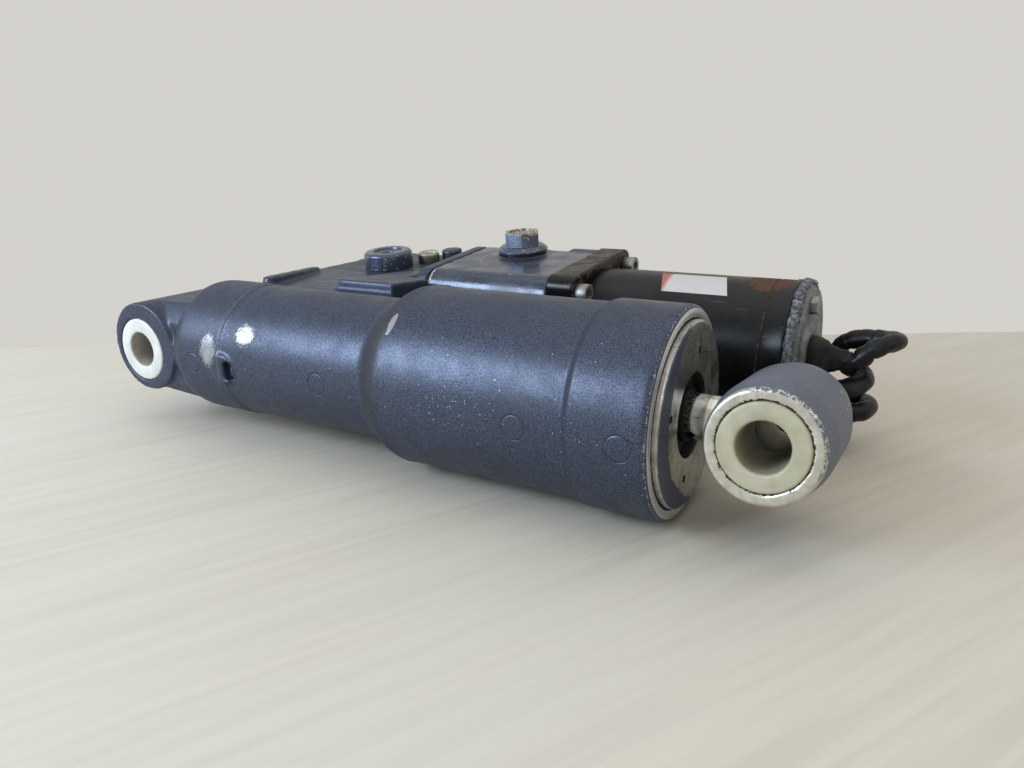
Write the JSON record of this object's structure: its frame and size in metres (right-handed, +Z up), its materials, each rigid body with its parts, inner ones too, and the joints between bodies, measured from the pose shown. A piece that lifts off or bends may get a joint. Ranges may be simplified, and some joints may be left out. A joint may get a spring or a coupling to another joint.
{
  "type": "power trim and tilt ram",
  "caption": "Two-stage hydraulic ram with an eye at each end, carrying its own gear pump, oil reservoir and electric motor, with folded leads.",
  "frame": {"origin": "centre of the lower eye, on the ram's axis", "axes": "+X along the ram from the lower eye to the rod eye, +Y towards the pump and motor along the eyes' pin axis, +Z up"},
  "size_m": [0.3734, 0.2173, 0.0946],
  "materials": {
    "ram_paint": "cast aluminium under satin metallic blue-grey paint",
    "eye_paint": "forged steel under satin blue-grey paint",
    "block_paint": "cast aluminium under glossy dark blue-grey paint",
    "black_paint": "gloss black paint on steel",
    "flange_paint": "gloss black paint on cast aluminium",
    "machined_aluminium": "turned, with remains of paint",
    "cover_metal": "die cast, dull",
    "plug_paint": "blue-grey paint worn at the corners",
    "zinc_steel": "dull zinc plate",
    "yellow_zinc": "yellow zinc plate",
    "chrome_rod": "hard chrome, ground",
    "steel": "machined steel",
    "spring_steel": "drawn wire",
    "sintered_iron": "sintered",
    "laminated_steel": "stacked laminations",
    "ferrite": "fired ferrite",
    "copper": "enamelled and bare copper",
    "bronze": "oil-filled bronze",
    "carbon": "pressed carbon",
    "phenolic": "phenolic board",
    "white_nylon": "moulded nylon",
    "cream_nylon": "moulded nylon, aged",
    "black_rubber": "moulded rubber",
    "seal_plastic": "filled PTFE",
    "copper_washer": "annealed copper",
    "filter_mesh": "woven mesh on a frame",
    "sealant": "cured grey sealant",
    "lead_sleeve": "soft black PVC sleeve",
    "tie_nylon": "moulded nylon",
    "connector_plastic": "moulded nylon"
  },
  "bodies": {
    "ram_and_pump": {"cylinder_body": "ram_paint", "lower_bushes": "white_nylon", "end_cap": "machined_aluminium", "end_cap_seal": "black_rubber", "rod_seal": "black_rubber", "rod_wiper": "black_rubber", "valve_cap": "plug_paint", "valve_cap_seal": "black_rubber", "check_plugs": "zinc_steel", "check_balls": "steel", "check_springs": "spring_steel", "manifold_seal": "black_rubber", "pump_housing": "cover_metal", "pump_cover": "cover_metal", "pump_screws": "zinc_steel", "suction_filter": "filter_mesh", "reservoir_housing": "block_paint", "filler_plug": "plug_paint", "filler_seal": "copper_washer", "motor_flange": "flange_paint", "flange_seal": "black_rubber", "flange_screws": "zinc_steel", "shaft_seal": "black_rubber", "front_bearing": "steel", "motor_can": "black_paint", "magnets": "ferrite", "brushes": "carbon", "brush_plate": "phenolic", "end_cover": "cover_metal", "end_cover_bushing": "bronze", "cover_sealant": "sealant", "cover_bolts": "zinc_steel", "lead_grommet": "black_rubber", "lead_sleeve": "lead_sleeve", "lead_hank": "lead_sleeve", "lead_tie": "tie_nylon", "lead_connector": "connector_plastic"},
    "trim_stage": {"trim_sleeve": "steel", "trim_piston": "machined_aluminium", "trim_piston_seal": "black_rubber", "sleeve_stop_ring": "steel"},
    "floating_piston": {"free_piston": "machined_aluminium", "free_piston_seal": "black_rubber"},
    "tilt_stage": {"tilt_piston": "steel", "tilt_piston_seal": "seal_plastic", "shock_balls": "steel", "shock_springs": "spring_steel"},
    "rod": {"piston_rod": "chrome_rod", "rod_nut": "zinc_steel", "rod_eye": "eye_paint", "upper_bushes": "cream_nylon"},
    "armature": {"armature_shaft": "steel", "armature_core": "laminated_steel", "armature_windings": "copper", "commutator": "copper", "drive_gear": "sintered_iron"},
    "idler": {"driven_gear": "sintered_iron"},
    "release_screw": {"release_valve": "yellow_zinc", "release_valve_seal": "black_rubber"},
    "spool": {"shuttle_spool": "steel"}
  },
  "joints": [
    {"name": "trim_slide", "type": "slide", "parent": "ram_and_pump", "child": "trim_stage", "axis": [1, 0, 0], "range_m": [0, 0.0695]},
    {"name": "tilt_slide", "type": "slide", "parent": "trim_stage", "child": "tilt_stage", "axis": [1, 0, 0], "range_m": [0, 0.1095]},
    {"name": "floating_slide", "type": "slide", "parent": "trim_stage", "child": "floating_piston", "axis": [1, 0, 0], "range_m": [0, 0.1095]},
    {"name": "rod_turn", "type": "hinge", "parent": "tilt_stage", "child": "rod", "pos_m": [0.06, 0, 0], "axis": [1, 0, 0], "continuous": true},
    {"name": "motor_spin", "type": "hinge", "parent": "ram_and_pump", "child": "armature", "pos_m": [0.25, 0.1025, 0], "axis": [1, 0, 0], "continuous": true},
    {"name": "pump_gear_spin", "type": "hinge", "parent": "ram_and_pump", "child": "idler", "pos_m": [0.133, 0.10381, -0.01494], "axis": [1, 0, 0], "continuous": true},
    {"name": "release_turn", "type": "hinge", "parent": "ram_and_pump", "child": "release_screw", "pos_m": [0.082, 0.11844, 0.00139], "axis": [0, -0.0872, 0.9962], "range_deg": [0, 1080]},
    {"name": "spool_slide", "type": "slide", "parent": "ram_and_pump", "child": "spool", "axis": [0, 0.9962, 0.0872], "range_m": [-0.0035, 0.0035]}
  ],
  "couplings": [
    {"joint": "floating_slide", "follows": "tilt_slide", "ratio": 1},
    {"joint": "pump_gear_spin", "follows": "motor_spin", "ratio": -1}
  ]
}
